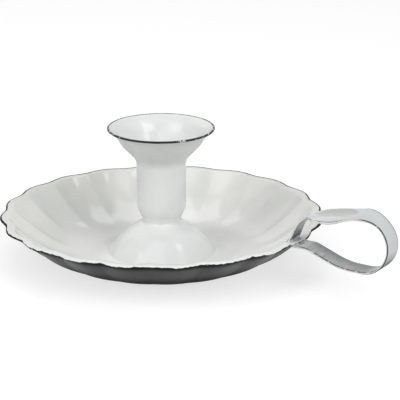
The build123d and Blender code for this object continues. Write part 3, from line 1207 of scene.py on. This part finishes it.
weld_enamel = make_weld_enamel()
lump_seed = 5
seed_set(lump_seed)
leg_lean = Vector((leg_slope, 1)).normalized()
upper_beads = lay_beads("upper_weld", [
    {
        "corner": (landing_reach - 0.5 * mm, rim_height - 1.2 * mm),
        "along_toe": (-1.9 * mm, -1.9 * mm), "along_side": leg_lean * 3.3 * mm,
        "half_length": 4.7 * mm, "follow": 0.6},
    {
        "corner": (landing_reach + strap_sheet + 0.05 * mm, rim_height - 0.05 * mm),
        "along_toe": (1.9 * mm, 0.0), "along_side": leg_lean * 1.5 * mm, "half_length": 5.2 * mm},
], 0.08 * mm)
lower_beads = lay_beads("lower_weld", [
    {
        "corner": (tuck_reach, lip_underside + 0.05 * mm),
        "along_toe": (-2.0 * mm, -1.6 * mm), "along_side": (0.1 * mm, -1.05 * mm),
        "half_length": 5.0 * mm, "follow": 1.0},
    {
        "corner": (rim_radius - 0.05 * mm, lip_underside + 0.02 * mm),
        "along_toe": (3.2 * mm, -0.35 * mm), "along_side": (0.0, 1.1 * mm),
        "half_length": 5.5 * mm, "follow": 1.0},
], 0.08 * mm)
for beads, node in ((upper_beads, "strap_weld_upper"), (lower_beads, "strap_weld_lower")):
    beads.data.materials.append(weld_enamel)
    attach(beads, "root")
    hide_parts(node)

# %% [markdown]
# ## Studio
# The object stands on a wide pale floor in soft light. The floor and the world look white to
# the camera, and to reflections, through Light Path, while the light that reaches the enamel
# stays at a plain level. The floor keeps the object's shadow.

# %% Floor and world
pure_white = (1.0, 1.0, 1.0, 1.0)
floor_grey = (0.45, 0.45, 0.45, 1.0)
floor_glow = 0.70
world_light = 0.04


def seen_or_mirrored(tree):
    """1 for rays from the camera and for reflected or refracted rays, else 0."""
    path = tree.nodes.new("ShaderNodeLightPath").outputs
    seen = calc("MAXIMUM", path["Is Camera Ray"], path["Is Glossy Ray"])
    return calc("MAXIMUM", seen, path["Is Transmission Ray"])


def make_floor():
    half = 3.0
    mesh = bpy.data.meshes.new("floor")
    corners = [(-half, -half, 0), (half, -half, 0), (half, half, 0), (-half, half, 0)]
    mesh.from_pydata(corners, [], [(0, 1, 2, 3)])
    material = bpy.data.materials.new("pale_floor")
    material.use_nodes = True
    tree = material.node_tree
    tree.nodes.remove(tree.nodes["Principled BSDF"])
    paint = add(tree, "ShaderNodeBsdfDiffuse", floor_grey)
    glow = add(tree, "ShaderNodeEmission", pure_white, times(seen_or_mirrored(tree), floor_glow))
    both = add(tree, "ShaderNodeAddShader", paint, glow)
    feed(tree.nodes["Material Output"].inputs["Surface"], both)
    mesh.materials.append(material)
    floor = add_object("floor", mesh)
    floor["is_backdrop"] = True


def make_world():
    world = bpy.data.worlds.new("studio")
    world.use_nodes = True
    bpy.context.scene.world = world
    tree = world.node_tree
    lit = add(tree, "ShaderNodeMapRange", seen_or_mirrored(tree), 0.0, 1.0, world_light, 1.0)
    background = tree.nodes["Background"]
    feed(background.inputs["Color"], pure_white)
    feed(background.inputs["Strength"], lit)


make_floor()
make_world()
print("floor glow", floor_glow, "world light", world_light)

# %% [markdown]
# ## Camera
# The lens is long and the camera stands just under a metre away, looking down at about 18
# degrees, which is how the photograph's ellipses measure. It has no shift and no roll.

# %% Camera
def aim(thing, place, heading):
    thing.location = place
    thing.rotation_mode = "QUATERNION"
    thing.rotation_quaternion = heading.to_track_quat("-Z", "Y")


camera_place = Vector((457.6, -674.9, 294.4)) * mm
camera_heading = Vector((-0.5147, 0.7998, -0.3088))
camera_data = bpy.data.cameras.new("camera")
camera_data.lens = 151.6
camera_data.sensor_width = 36.0
camera = add_object("camera", camera_data)
aim(camera, camera_place, camera_heading)
bpy.context.scene.camera = camera
bpy.context.scene.view_settings.view_transform = "Standard"
print("camera at", [round(value, 3) for value in camera_place])

# %% [markdown]
# ## Lamps
# The photograph was taken in a tent of soft light, so eight wide soft boxes stand round the
# object, all at one distance. Each is named by where it stands as seen from the camera, and
# placed by its bearing from there and its height in degrees. The strongest stands half
# right, low ones light the walls, and high ones the floor of the pan. A weak small window
# is there for its mirror image, a bright spot inside the cup.

# %% Lamps
def soft_box(name, bearing, height, watts, side=0.9, distance=1.5):
    """A square area light at a bearing in degrees left of the camera, aimed at the socket."""
    light = bpy.data.lights.new(name, "AREA")
    light.shape = "SQUARE"
    light.size = side
    light.energy = watts
    turn = math.atan2(camera_place.y, camera_place.x) - math.radians(bearing)
    up = math.radians(height)
    place = distance * Vector((
        math.cos(up) * math.cos(turn), math.cos(up) * math.sin(turn), math.sin(up)))
    aim(add_object(name, light), place, Vector((0.0, 0.0, 0.03)) - place)
    print(name, watts, "W at", [round(value, 2) for value in place])


soft_box("half_right", -40, 38, 8.5)
soft_box("half_left", 50, 38, 5.9)
soft_box("behind", 150, 38, 1.7)
soft_box("low_right", -70, 12, 2.5)
soft_box("low_front", -25, 12, 5.4)
soft_box("low_left", 70, 12, 6.0)
soft_box("high_front", 30, 65, 2.6)
soft_box("high_behind", 180, 65, 4.5)
soft_box("small_window", -73.7, 58.2, 0.5, side=0.22, distance=1.24)

# %% Write the sizes and finish
look_box = [list(corner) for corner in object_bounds()]
for label, (low, high) in (("cad", cad_box), ("look", look_box)):
    print(label, [round(side / mm, 2) for side in (*low, *high)])
